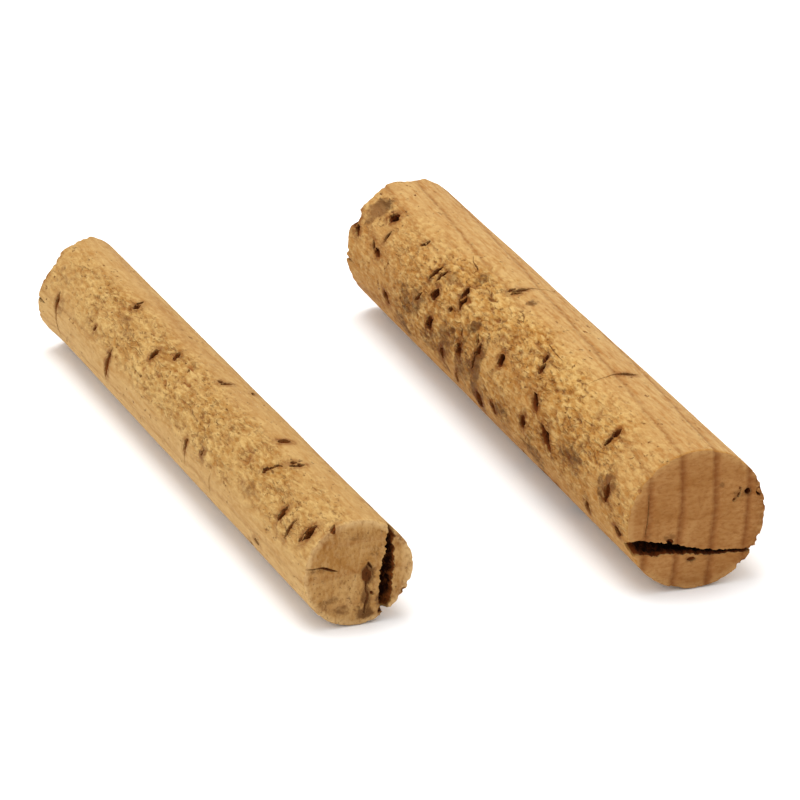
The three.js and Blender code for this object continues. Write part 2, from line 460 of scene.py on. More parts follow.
def crumbliness(rod, along, around):
    # how torn the skin is: the bark face and the one opposite are rough, the ring faces between are
    # smooth, and all of it is less torn towards the ends
    best = 0.0
    for centre, reach, strength in rod["crumblyFaces"]:
        away = abs(turnBetween(around, centre))
        best = max(best, strength * smoothStep(reach, reach * 0.4, away))
    nearFade = smoothStep(-12, rod["crumblyFrom"], along)
    ends = nearFade * smoothStep(rod["length"] + 4, rod["crumblyTo"], along)
    turn = math.radians(around)
    patch = noise.noise(Vector((math.sin(turn) * 1.4, along * 0.06, math.cos(turn) * 1.4 + rod["seed"])))
    torn = best * (0.25 + 0.75 * ends) * (0.85 + 0.8 * patch)
    return max(0.0, min(1.0, torn + spotStrength(rod, rod["tornSpots"], along, around)))


def grooveAt(point, fineness, seed):
    # short crooked furrows drawn out along the rod, 1 at their bottoms
    drawn = Vector((point.x, point.y * 0.3 + point.x * 0.12, point.z))
    bent = drawn * fineness + Vector((seed, seed * 0.3, 0))
    bent += noise.noise_vector(bent * 0.8) * 0.25
    return smoothStep(0.1, 0.38, noise.noise(bent))


def farTear(rod, place):
    # how far the torn far end stands out past its saw cut, only towards its edge
    flat = Vector((place.x, 0, place.z))
    nearEdge = smoothStep(rod["radius"] * 0.45, rod["radius"], flat.length)
    lumps = noise.noise(flat * 0.2 + Vector((rod["seed"], 0, 0))) + 0.45 * noise.noise(flat * 0.55)
    return rod["farRagged"] * nearEdge * lumps + rod["farSpare"]


skin = {
    "slowSwell": 0.08, "slowFineness": 0.045,
    "furrowFineness": 1.1, "fineFurrowFineness": 1.9, "fineFurrowShare": 0.7,
    "crumbFineness": 0.9, "smoothCrumb": 0.03, "tornCrumb": 0.16, "highestCrumb": 0.5,
    "ringHalfWidth": 0.45,
    "chipReach": 1.1, "chipFineness": 0.75, "chipDepth": 2.2,
    "nearReach": 20, "faceReach": 0.5,
}


def ringGroove(rod, place):
    # the shallow groove at each growth ring's end, 1 at its bottom
    pith = Vector(rod["pith"])
    turns = math.hypot(place.x - pith.x, place.z - pith.z) + rod["ringLean"] * place.y
    turns = (turns / rod["ringSpacing"] + 0.5) % 1 - 0.5
    return math.exp(-((turns * rod["ringSpacing"] / skin["ringHalfWidth"]) ** 2))


def flareAt(flares, around, fromEnd):
    # how far a rod's end swells, from flares of (around, half width, bulge, reach along)
    swell = 0.0
    for angle, reachAround, bulge, reachAlong in flares:
        lift = smoothStep(reachAround, 0, abs(turnBetween(around, angle)))
        swell += bulge * lift * smoothStep(reachAlong, 0, fromEnd)
    return swell


def wearSkin(bm, rod):
    # works the blank's skin: slow unevenness, torn furrows, ring grooves and chipped rims
    radius, length = rod["radius"], rod["length"]
    # the furrow depth is kept for the materials, which paint a browner colour and painted shade into the
    # furrows
    grooveLayer = bm.verts.layers.float.new("groove")
    for vert in bm.verts:
        place = vert.co.copy()
        out = Vector((place.x, 0, place.z))
        reach = out.length
        along = place.y
        if reach < 0.01:
            continue
        out.normalize()
        around = math.degrees(math.atan2(-place.x, place.z))
        onSide = smoothStep(radius - 0.9, radius - 0.2, reach)
        nearEnd = along < skin["nearReach"]
        fromEnd = min(along, length - along)
        swell = skin["slowSwell"]
        lift = swell * noise.noise(place * skin["slowFineness"] + Vector((rod["seed"], 0, 0))) - swell
        torn = crumbliness(rod, along, around) * onSide
        groove = grooveAt(place, skin["furrowFineness"], rod["seed"]) * torn
        fine = grooveAt(place, skin["fineFurrowFineness"], rod["seed"] + 9)
        groove = max(groove, skin["fineFurrowShare"] * fine * torn)
        drawn = Vector((place.x, place.y * 0.5, place.z))
        crumb = noise.fractal(drawn * skin["crumbFineness"], 1.0, 2.0, 2)
        lift -= rod["grooveDepth"] * groove * (1 + spotStrength(rod, rod["tornSpots"], along, around))
        lift += (skin["smoothCrumb"] + skin["tornCrumb"] * torn) * min(skin["highestCrumb"], crumb)
        lift -= rod["ringStep"] * onSide * ringGroove(rod, place)
        rimWear = smoothStep(skin["chipReach"], 0.0, fromEnd) * onSide
        chipSeed = rod["seed"] + (0 if nearEnd else 7)  # the two rims chip differently
        chip = noise.noise(out * radius * skin["chipFineness"] + Vector((0, 0, chipSeed))) - 0.12
        lift -= rod["rimChips"] * rimWear * max(0.0, chip) * skin["chipDepth"]
        if nearEnd:
            lift += flareAt(rod["flares"], around, along)
        else:
            lift += flareAt(rod["farFlares"], around, length - along)
        vert.co += out * min(lift, rod["mostSwell"]) * (reach / radius if onSide < 1 else 1)
        if fromEnd < skin["faceReach"]:
            ripple = 0.05 * noise.noise(place * 0.8) + 0.03 * noise.noise(place * 2.1)
            inward = ripple + rod["rimChips"] * onSide * max(0.0, chip - 0.08) * 0.5
            vert.co.y += inward if nearEnd else -inward
        vert[grooveLayer] = groove
    slope = math.tan(math.radians(rod["farCut"]))
    for vert in bm.verts:  # the far end is sawn out of square, and its edge is torn
        slide = smoothStep(length - rod["farCutBlend"], length, vert.co.y)
        tear = smoothStep(length - rod["farTearReach"], length, vert.co.y)
        vert.co.y += slide * slope * vert.co.x + tear * farTear(rod, vert.co)


pitSpare = (1.12, 1.06, 1.15)  # pits are cut this much wider, longer and deeper, for their ragged walls
bigPit = 2.4  # a pit longer than this has finer walls


def pitCutter(bm, place, inward, along, pit, rng):
    # a ragged spindle sunk into the skin at place, its long axis leaned from the rod's length
    fineness = 3 if pit["long"] > bigPit else 2
    drop = bmesh.ops.create_icosphere(bm, subdivisions=fineness, radius=1)["verts"]
    seed = Vector((rng.uniform(-50, 50), rng.uniform(-50, 50), 0))
    pointed = pit.get("pointed", 0.4)
    for vert in drop:
        x, y, z = vert.co
        x *= 1 - pointed * abs(y) ** 1.5
        ragged = noise.noise_vector(vert.co * 1.5 + seed) * 0.2
        ragged += noise.noise_vector(vert.co * 3.7 + seed) * 0.1
        vert.co = Vector((x, y, z)) + ragged
    side = along.cross(-inward)
    turn = Matrix((side, along, -inward)).transposed().to_4x4()
    lean = Matrix.Rotation(math.radians(pit.get("lean", 0)), 4, "Z")
    wider, longer, deeper = pitSpare
    size = Matrix.Diagonal((pit["wide"] / 2 * wider, pit["long"] / 2 * longer, pit["deep"] * deeper, 1))
    bmesh.ops.transform(bm, matrix=Matrix.Translation(place) @ turn @ lean @ size, verts=drop)


def matchOrder(ring, pulled):
    # the pulled points in the same order as the ring that they were pulled from
    found = []
    for vert in ring:
        others = [edge.other_vert(vert) for edge in vert.link_edges]
        found.append(next(other for other in others if other in pulled))
    return found


channelTaper = 0.55  # how far a crack narrows towards its bottom
channelProud = 0.8  # how far its cutter stands out of the skin


def channelCutter(bm, stations, rng, corners=12, ragged=0.12):
    # a flattened tube swept through stations of (place, inward, width, depth): a crack or a split
    seed = Vector((rng.uniform(-50, 50), 0, rng.uniform(-50, 50)))
    ring = bmesh.ops.create_circle(bm, segments=corners, radius=1)["verts"]
    edges = []
    for vert in ring:
        edges += [edge for edge in vert.link_edges if edge not in edges]
    first = edges
    for index, (place, inward, width, depth) in enumerate(stations):
        if index:
            grown = bmesh.ops.extrude_edge_only(bm, edges=edges)["geom"]
            pulled = {item for item in grown if isinstance(item, bmesh.types.BMVert)}
            edges = [item for item in grown if isinstance(item, bmesh.types.BMEdge)]
            edges = [edge for edge in edges if all(vert in pulled for vert in edge.verts)]
            ring = matchOrder(ring, pulled)
        before = stations[max(0, index - 1)][0]
        after = stations[min(len(stations) - 1, index + 1)][0]
        forward = (after - before).normalized()
        sideways = forward.cross(inward).normalized()
        for corner, vert in enumerate(ring):
            turn = 2 * math.pi * corner / corners
            drop = math.sin(turn)
            spread = math.cos(turn) * width / 2
            spread *= 1 - channelTaper * max(0.0, drop) ** 2
            reach = drop * (depth if drop > 0 else channelProud)
            point = place + sideways * spread + inward * reach
            jag = noise.noise_vector(point * 1.4 + seed) * ragged * 1.4
            jag += noise.noise_vector(point * 3.5 + seed) * ragged
            vert.co = point + sideways * jag.x * min(1.0, width) + inward * jag.z * 0.5
    bmesh.ops.contextual_create(bm, geom=first)
    bmesh.ops.contextual_create(bm, geom=edges)


def alongPath(points, step):
    # evenly spaced points, with the values that ride on them, on a smooth line through a few given ones
    rows = []
    for index in range(len(points) - 1):
        before = points[max(0, index - 1)]
        start, end = points[index], points[index + 1]
        after = points[min(len(points) - 1, index + 2)]
        span = math.dist(start[:2], end[:2])
        count = max(2, int(span / step))
        for k in range(count):
            t = k / count
            row = []
            for a, b, c, d in zip(before, start, end, after):
                bend = (2 * a - 5 * b + 4 * c - d) * t * t
                twist = (3 * b - a - 3 * c + d) * t ** 3
                row.append(0.5 * (2 * b + (c - a) * t + bend + twist))
            rows.append(row)
    rows.append(list(points[-1]))
    return rows


def atLeastHair(width, depth):
    # a crack never closes altogether
    return max(0.08, width), max(0.15, depth)


def sideCrack(bm, rod, path, rng):
    # path of (along, around, width, depth)
    perDegree = rod["radius"] * math.pi / 180
    flat = [(along, around * perDegree, width, depth) for along, around, width, depth in path]
    stations = []
    for along, arc, width, depth in alongPath(flat, 0.35):
        around = arc / perDegree
        stations.append((sidePoint(rod, along, around), -outward(around), *atLeastHair(width, depth)))
    channelCutter(bm, stations, rng)


def faceCrack(bm, rod, path, rng, far=False, ragged=0.12):
    # path of (across, up, width, depth) on an end face
    stations = []
    for across, up, width, depth in alongPath(path, 0.3):
        y = farFace(rod, across) if far else 0.0
        inward = Vector((0, -1 if far else 1, 0))
        stations.append((Vector((across, y, up)), inward, *atLeastHair(width, depth)))
    channelCutter(bm, stations, rng, ragged=ragged)


def strayPits(rod, rng):
    # pits for the hidden faces, by the same habit: round on the bark faces, long across the ring faces
    pits = []
    for lowest, highest, count in rod["strayZones"]:
        for _ in range(count):
            around = rng.uniform(lowest, highest)
            onBark = abs(math.cos(math.radians(around - rod["barkFace"])))
            size = rng.choice((1.1, 1.5, 2.0, 2.8, 3.6))
            pits.append({
                "along": rng.uniform(6, rod["length"] - 8), "around": around,
                "long": size * (1.5 - 0.4 * onBark) + rng.uniform(0, 1.2),
                "wide": size * (0.35 + 0.35 * onBark),
                "lean": 90 * (1 - onBark) + rng.gauss(0, 25), "deep": size * 0.7 + 0.4,
            })
    return pits


def cutAway(blank, cutters):
    # one boolean per cutter group, then the plain mesh
    for cutter in cutters:
        modifier = blank.modifiers.new("cut", "BOOLEAN")
        modifier.object = cutter
        modifier.operation = "DIFFERENCE"
        modifier.solver = "MANIFOLD"
    depsgraph = bpy.context.evaluated_depsgraph_get()
    mesh = bpy.data.meshes.new_from_object(blank.evaluated_get(depsgraph))
    blank.modifiers.clear()
    blank.data = mesh
    for cutter in cutters:
        bpy.data.objects.remove(cutter)


haloReach = 6  # no pit browns the skin further from its middle than this


def pitHalo(rod, tree, along, around, perDegree):
    # how near a point is to the lip of a pit, 1 at the lip
    spot = (along, around * perDegree, 0)
    halo = 0.0
    for _, index, _ in tree.find_range(spot, haloReach):
        pit = rod["pits"][index]
        offAlong = along - pit["along"]
        offAround = turnBetween(around, pit["around"]) * perDegree
        lean = math.radians(pit["lean"])
        length = offAlong * math.cos(lean) + offAround * math.sin(lean)
        across = offAround * math.cos(lean) - offAlong * math.sin(lean)
        away = math.hypot(length / (pit["long"] / 2 + 0.5), across / (pit["wide"] / 2 + 0.5))
        halo = max(halo, smoothStep(1.7, 0.8, away) * min(1.0, pit["wide"] / 1.8))
    return halo


deepestHollow = 1.6  # past this depth the painted shade on a pit's wall gets no darker
crispAngle = 48  # degrees between two faces, from which the edge between them stays crisp


def hollowAt(rod, place, reach):
    # how far a point lies inside the rod, from its side and from both ends
    fromSide = rod["radius"] - reach - 0.3
    fromFar = farFace(rod, place.x) - place.y - 0.4
    return max(0.0, min(deepestHollow, fromSide, place.y - 0.2, fromFar))


def faceStainAt(rod, x, z):
    best = 0.0
    for across, up, wide, tall, strength in rod["faceStains"]:
        away = math.hypot((x - across) / wide, (z - up) / tall)
        best = max(best, strength * spotFade(away))
    return best


# the strongest band of painted light and shade round the rod at a point
def paintedSideLightAndShadeAt(rod, around):
    best = 0.0
    for angle, spread, strength in rod["paintedSideLightAndShade"]:
        best = max(best, strength * smoothStep(spread, 0, abs(turnBetween(around, angle))))
    return best


def paintRod(mesh, rod):
    # the per-point values that the materials read, the end faces' material and crisp lips
    radius = rod["radius"]
    perDegree = radius * math.pi / 180
    tree = kdtree.KDTree(len(rod["pits"]))
    for index, pit in enumerate(rod["pits"]):
        tree.insert((pit["along"], pit["around"] * perDegree, 0), index)
    tree.balance()
    values = {"hollow": [], "stain": [], "torn": [], "halo": [], "paintedLightAndShade": []}
    for vert in mesh.vertices:
        x, y, z = vert.co
        reach = math.hypot(x, z)
        around = math.degrees(math.atan2(-x, z))
        onSide = smoothStep(radius - 2.5, radius - 0.7, reach)
        values["hollow"].append(hollowAt(rod, vert.co, reach))
        grey = spotStrength(rod, rod["stains"], y, around) * onSide
        smudge = faceStainAt(rod, x, z) if y < 1.0 and onSide < 1 else 0.0
        values["stain"].append(max(grey, smudge))
        values["torn"].append(crumbliness(rod, y, around) * onSide)
        values["halo"].append(pitHalo(rod, tree, y, around, perDegree) * onSide)
        # painted highlight: a pale band just inside the near face's rim; elsewhere the side bands of painted
        # light and shade
        onFaceEdge = y < 0.6 and reach > radius * 0.6
        paintedRimHighlight = smoothStep(radius - 1.2, radius - 0.4, reach)
        values["paintedLightAndShade"].append(paintedRimHighlight if onFaceEdge else paintedSideLightAndShadeAt(rod, around) * onSide)
    for name, numbers in values.items():
        mesh.attributes.new(name, "FLOAT", "POINT").data.foreach_set("value", numbers)
    for face in mesh.polygons:
        face.use_smooth = True
        x, y, z = face.center
        onEnd = y < 1.2 or y > farFace(rod, x) - 2.5
        face.material_index = 1 if onEnd and abs(face.normal.y) > 0.6 else 0
    mesh.set_sharp_from_angle(angle=math.radians(crispAngle))


def placeRod(rod):
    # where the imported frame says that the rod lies
    mount = next(m for m in frame["record"]["mounts"] if m["name"] == rod["endMount"])
    facing = Vector(mount["axis"])
    rod["nearEnd"] = Vector(mount["pos_m"])
    rod["yaw"] = math.atan2(facing.x, -facing.y)
    low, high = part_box(rod["node"])
    rod["radius"] = (high.z - low.z) / 2 / metresPerMm


def allPits(rod, rng):
    # every pit of a rod as one mesh to cut with
    bm = bmesh.new()
    for pit in rod["pits"]:
        place = sidePoint(rod, pit["along"], pit["around"], -0.1)
        pitCutter(bm, place, -outward(pit["around"]), Vector((0, 1, 0)), pit, rng)
    for pit in rod["facePits"]:
        place = Vector((pit["across"], farFace(rod, pit["across"]) if pit["far"] else 0, pit["up"]))
        pitCutter(bm, place, Vector((0, -1 if pit["far"] else 1, 0)), Vector((0, 0, 1)), pit, rng)
    return bm


def allCracks(rod, rng):
    bm = bmesh.new()
    for path in rod["sideCracks"]:
        sideCrack(bm, rod, path, rng)
    for path in rod["faceCracks"]:
        faceCrack(bm, rod, path, rng)
    for path in rod["farCracks"]:
        faceCrack(bm, rod, path, rng, far=True)
    return bm


def allSplits(rod, rng):
    bm = bmesh.new()
    for path in rod["splits"]:
        faceCrack(bm, rod, path, rng, ragged=rod["splitRagged"])
    return bm


def makeRod(rod):
    placeRod(rod)
    rng = random.Random(rod["seed"])
    bm = turnBlank(rod)
    wearSkin(bm, rod)
    blank = meshObject(bm, rod["node"] + "_cork")
    rod["pits"] = rod["pits"] + strayPits(rod, rng)
    cutters = []
    for make in (allPits, allCracks, allSplits):
        bm = make(rod, rng)
        bmesh.ops.recalc_face_normals(bm, faces=bm.faces)
        cutters.append(meshObject(bm, "cutter"))
    cutAway(blank, cutters)
    blank.data.materials.clear()
    blank.data.materials.append(corkMaterial(rod["node"] + "Bark", rod, rod["bark"]))
    blank.data.materials.append(corkMaterial(rod["node"] + "Sawn", rod, rod["sawn"]))
    paintRod(blank.data, rod)
    blank.data.transform(Matrix.Translation(rod["nearEnd"]) @ Matrix.Rotation(rod["yaw"], 4, "Z")
                         @ Matrix.Scale(metresPerMm, 4))
    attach(blank, rod["body"])
    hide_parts(rod["node"])
    blank.data.calc_loop_triangles()
    print(rod["node"], "made,", len(blank.data.loop_triangles), "triangles")


def pitAt(along, around, long, wide, lean, deep, pointed=0.4):
    return {
        "along": along, "around": around, "long": long, "wide": wide,
        "lean": lean, "deep": deep, "pointed": pointed,
    }


def facePit(across, up, long, wide, lean, deep, far=False):
    return {"across": across, "up": up, "long": long, "wide": wide, "lean": lean, "deep": deep, "far": far}


# Lean is in degrees from the rod's length, or from upright on an end face. Stains and torn spots are
# (along, around, half length, half height, strength). Stains on a face are (across, up, half width,
# half height, strength). Bands of painted light and shade round a rod are (around, half width in degrees,
# strength).

barkLook = {
    "lineWidth": 0.55, "lineStrength": 0.6, "toneStrength": 0.4,
    "streak": (1.0, 0.36, 1.0), "fleckStreak": (1.0, 0.6, 1.0), "fleckAmount": 0.36,
    # the two crumb strengths set the crumbs' painted shade and painted highlight
    "skinStrength": 0.5, "fibreStrength": 0.5, "crumbShadeStrength": 0.65, "crumbHighlightStrength": 0.7,
    "creaseStrength": 0.45, "dashStrength": 0.65, "grooveStrength": 0.3, "fleckStrength": 0.85,
    "haloStrength": 0.8, "stainStrength": 0.85,
    "roughest": 0.95, "smoothest": 0.75, "specular": 0.04, "dust": 0.02, "dustRoughness": 0.4,
    "bumpStrength": 0.9, "bumpDepth": 0.7,
    "deep": colour(212, 154, 78), "pale": colour(232, 182, 106), "skin": colour(210, 172, 120),
    # the grain colour also gives the painted shade in the hollows between crumbs, and the light colour is the
    # painted highlight on their tops
    "grainAndCrumbShade": colour(184, 114, 38), "light": colour(254, 212, 136), "ringWarm": colour(198, 142, 82),
    # the crease and groove colours are the crevices' browner colour with painted shade in them
    "ringLine": colour(154, 96, 42), "crease": colour(166, 96, 26), "grooveBrownAndShade": colour(140, 74, 18),
    "fleckBrown": colour(136, 74, 20), "charcoal": colour(88, 50, 18), "smoke": colour(146, 98, 54),
    # painted shade colour for the thick rod's left side
    "paintedLightAndShade": colour(204, 146, 76),
    # the pits' black: black blotches with painted shade that deepens into the pits
    "pitBrown": colour(134, 66, 24), "pitRust": colour(132, 68, 20), "pitBlackAndShade": colour(34, 14, 4),
}
sawnLook = dict(
    barkLook, lineWidth=0.75, lineStrength=0.85, toneStrength=0.6, skinStrength=0.0, streak=(0.5, 1.0, 1.0),
    fibreStrength=0.5, crumbHighlightStrength=0.5, fleckAmount=0.25, fleckStrength=0.35, crumbShadeStrength=0.6,
    bumpStrength=0.6, bumpDepth=0.3,
    # the grain colour also gives the painted shade in the hollows between crumbs, and the light colour is the
    # painted highlight on their tops
    deep=colour(174, 116, 60), pale=colour(200, 144, 86), grainAndCrumbShade=colour(152, 92, 42),
    light=colour(218, 166, 104), ringWarm=colour(174, 110, 58), ringLine=colour(138, 80, 38),
    # painted highlight colour along the near face's rim
    paintedLightAndShade=colour(208, 156, 96),
)

thickRod = {
    "node": "thick_rod", "body": "thick_rod", "slot": "thick_cork", "endMount": "thick_rod_end",
    "length": 150.0, "farCut": 6.0, "farCutBlend": 20.0, "seed": 4,
    "aroundSteps": 256, "sideSteps": 280, "faceSteps": 12, "rimSoftness": 0.3, "rimChips": 0.5,
    "pith": (-136.3, 0.0, 8.0), "ringSpacing": 6.35, "ringLean": -0.076, "ringWaver": 1.2, "ringStep": 0.05,
    "farRagged": 1.6, "farSpare": 0.2, "farTearReach": 9, "splitRagged": 0.26,
    "mostSwell": 0.4, "flares": [], "farFlares": [(80, 60, 0.3, 10)],
    # painted shade along the thick rod's left side
    "paintedSideLightAndShade": [(100, 75, 0.7)],
    "crumblyFaces": [(62, 62, 1.0), (-110, 60, 0.9)], "crumblyFrom": 25.0, "crumblyTo": 105.0,
    "grooveDepth": 0.22,
    "tornSpots": [
        (92, 28, 14, 6, 0.6), (70, 30, 10, 5, 0.4), (50, 50, 14, 8, 0.3), (28, 60, 10, 7, 0.3),
        (84, 66, 8, 5, 0.3), (75, -115, 16, 7, 0.5), (120, -105, 10, 5, 0.4),
    ],
    "barkFace": 90, "strayZones": [(-150, -50, 20), (122, 180, 8), (-180, -150, 4)],
    "pits": [
        pitAt(5, 100, 3.4, 1.7, 0, 2.4),
        pitAt(10.7, 78, 3.6, 2.1, 85, 2.6, 0.2),
        pitAt(18.4, 37, 2.2, 1.8, 80, 1.6, 0.2),
        pitAt(18.4, 46, 2.6, 1.3, 70, 1.4),
        pitAt(20, 107, 2.8, 2, 70, 1.6),
        pitAt(38, -9, 3.6, 1.3, 90, 1.2),
        pitAt(40, 82, 7, 2.3, -27, 3, 0.5),
        pitAt(48, 64.5, 4.6, 1.9, -32, 2.4),
        pitAt(51.3, 87, 3, 2.4, 60, 2.2, 0.2),
        pitAt(53, 41, 2.8, 1.6, -60, 1.9),
        pitAt(54.8, 34, 3.2, 1.2, -40, 1.5),
        pitAt(67, 59.5, 3, 2.3, -40, 2, 0.5),
        pitAt(66.5, 101, 3.2, 1.8, -35, 1.6),
        pitAt(75, 108, 4.4, 2.7, 60, 2.8),
        pitAt(77, 67, 3.2, 1.5, 70, 1.5),
        pitAt(77.5, 78, 3.6, 1.0, 80, 1.3),
        pitAt(79, 61, 3.4, 0.8, -50, 0.9),
        pitAt(83.3, 8.5, 2.4, 1.2, 60, 1.4),
        pitAt(85.3, 9.5, 2, 1.2, 110, 1.2),
        pitAt(84.3, 3, 3.2, 1.5, 90, 1.6),
        pitAt(85, 80.5, 3.3, 2.2, -50, 2.4),
        pitAt(86, 66.5, 2.2, 1.1, -30, 1.1),
        pitAt(87, 108, 3.4, 1.4, 60, 1.4),
        pitAt(92.2, 47, 3.2, 1.8, -60, 2.4, 0.2),
        pitAt(93.8, 40, 3.4, 1.8, -65, 2.2),
        pitAt(94.3, 58, 1.6, 1.2, 0, 1.2),
        pitAt(94, 97, 2.8, 1.9, 50, 1.9),
        pitAt(101.2, 82, 3.4, 2.8, 30, 2.2, 0.5),
        pitAt(103, 58, 3, 2.4, 30, 2.4, 0.2),
        pitAt(105.4, 43, 3, 1.2, 85, 1.5),
        pitAt(108, 45, 4, 1.5, 78, 1.8),
        pitAt(109, 70, 3, 1, 50, 1),
        pitAt(119.6, 34, 1.5, 1.1, 40, 1),
        pitAt(119.2, 30, 1.3, 1, 60, 0.9),
        pitAt(125.5, 97, 3.3, 2, -40, 1.9),
        pitAt(133.2, 67.5, 3.6, 1.4, -10, 1.7),
        pitAt(135.8, 65, 2.8, 1.1, -30, 1.3),
        pitAt(132.6, 51, 2.9, 1.2, 85, 1.4),
        pitAt(136, 35, 3.6, 2.5, 5, 1.7, 0.6),
        pitAt(145, 65, 3.2, 1.6, -30, 1.4),
        pitAt(147.6, 58, 4.2, 2.2, -50, 2.0),
        pitAt(0.2, -71, 1.4, 1.8, 0, 1.0), pitAt(0, -124, 2.0, 1.6, 0, 0.7),
        pitAt(0, -98, 1.2, 1.4, 0, 0.5), pitAt(0, -136, 1.4, 1.2, 0, 0.6),
        pitAt(0, -63, 1.6, 1.2, 0, 0.6), pitAt(0, -84, 1.2, 1.6, 20, 0.5),
        pitAt(0, -113, 1.8, 1.4, -20, 0.7),
    ],
    "facePits": [
        facePit(9.6, 4.1, 1.3, 1.2, 0, 1.8), facePit(11.7, 3.7, 1.6, 1.0, 20, 1.2),
        facePit(7.1, 2.8, 0.9, 0.7, -40, 0.5), facePit(8, 3.7, 1.1, 0.6, -30, 0.5),
        facePit(8.2, 4.8, 1.0, 0.6, 20, 0.4), facePit(-5, -3.5, 1.6, 1.1, 60, 1.2),
        facePit(-0.9, -7.4, 1.8, 0.9, 90, 0.7),
        facePit(4, -3, 3.6, 1.2, 70, 2, True), facePit(-7, 2, 1.4, 1, 40, 1.2, True),
        facePit(1, 7, 1.8, 1.1, 10, 1.4, True), facePit(-4, -8, 2.6, 1.3, 80, 1.8, True),
    ],
    "sideCracks": [
        [(38.2, 24, 0.15, 0.3), (38.0, 10, 0.3, 0.5), (38.3, -2, 0.5, 0.8), (38.2, -20, 0.2, 0.4)],
        [(84.2, 2, 0.7, 0.8), (84.5, -12, 0.35, 0.6), (85, -28, 0.3, 0.5), (88, -36, 0.15, 0.3)],
        [(98, 22, 0.2, 0.3), (99, 17, 0.45, 0.6), (102.5, 15, 0.4, 0.5), (105, 11, 0.15, 0.3)],
        [(50, 25, 0.15, 0.3), (55, 24, 0.4, 0.5), (60, 22, 0.15, 0.3)],
        [(71, 24, 0.2, 0.3), (73.5, 19, 0.5, 0.5), (76, 19, 0.2, 0.3)],
        [(86, -104, 0.2, 0.3), (92, -108, 0.6, 1.0), (99, -103, 0.3, 0.6), (104, -106, 0.15, 0.3)],
        [(30, 172, 0.2, 0.3), (30.6, 186, 0.6, 0.9), (30.2, 204, 0.2, 0.3)],
    ],
    "faceCracks": [[(-9.2, 6, 0.15, 0.2), (-9.3, 2, 0.2, 0.3), (-9.8, -1.5, 0.15, 0.2)]],
    "farCracks": [[(-14, -1, 1.2, 4), (-8, -0.2, 0.9, 5), (-1, 0.8, 0.5, 3), (5, 0.6, 0.15, 1)]],
    "splits": [
        [(-14.5, -3.8, 2.8, 2.5), (-11, -3.9, 2.9, 3.2), (-7.5, -4.6, 2.6, 4), (-4, -5.1, 2.0, 4.5),
         (0, -6.1, 1.2, 4.5), (4, -6.8, 0.95, 4), (7, -7.0, 0.75, 3.5), (10.2, -7.25, 0.8, 3),
         (13.6, -7.5, 0.9, 2.5)],
    ],
    "faceStains": [
        (4.6, 5.8, 0.6, 0.6, 0.7), (-5, -2.6, 1.2, 0.8, 0.8), (-9.5, -1.8, 1.6, 0.7, 0.4),
        (7.6, 3.8, 1.0, 1.2, 0.5), (9.6, 4, 1.2, 1.2, 0.6), (-1, -7.6, 1.6, 0.8, 0.6),
        (11, -7.5, 1.4, 1.2, 0.4), (-11.2, -6, 1.2, 0.8, 0.5),
    ],
    "stains": [
        (11, 74, 3.4, 4.4, 0.75), (28, 78, 5, 3, 0.55), (47, 108, 5, 3.5, 0.6), (62, 102, 7, 3.5, 0.5),
        (76, 80, 2.8, 6, 0.9), (75, 106, 4, 3.5, 0.8), (84, 92, 5, 4.5, 0.6), (93, 92, 4, 5, 0.7),
        (90, 76, 4, 2.4, 0.55), (82, 54, 1.8, 1.3, 0.8), (101, 96, 5, 3, 0.5), (109, 76, 4.5, 3, 0.6),
        (102, 40, 2.4, 2, 0.5), (143, 37, 4, 3.4, 0.85), (77, 6, 1.8, 1.5, 0.6), (94, 20, 2.4, 2, 0.5),
        (114, 84, 4, 3, 0.6), (118, 110, 5, 3, 0.6), (60, -110, 8, 5, 0.7), (88, -96, 7, 5, 0.8),
        (118, -118, 6, 4, 0.6), (30, -95, 5, 3.5, 0.6), (45, 180, 4, 3, 0.5),
    ],
    "bark": barkLook, "sawn": sawnLook,
}

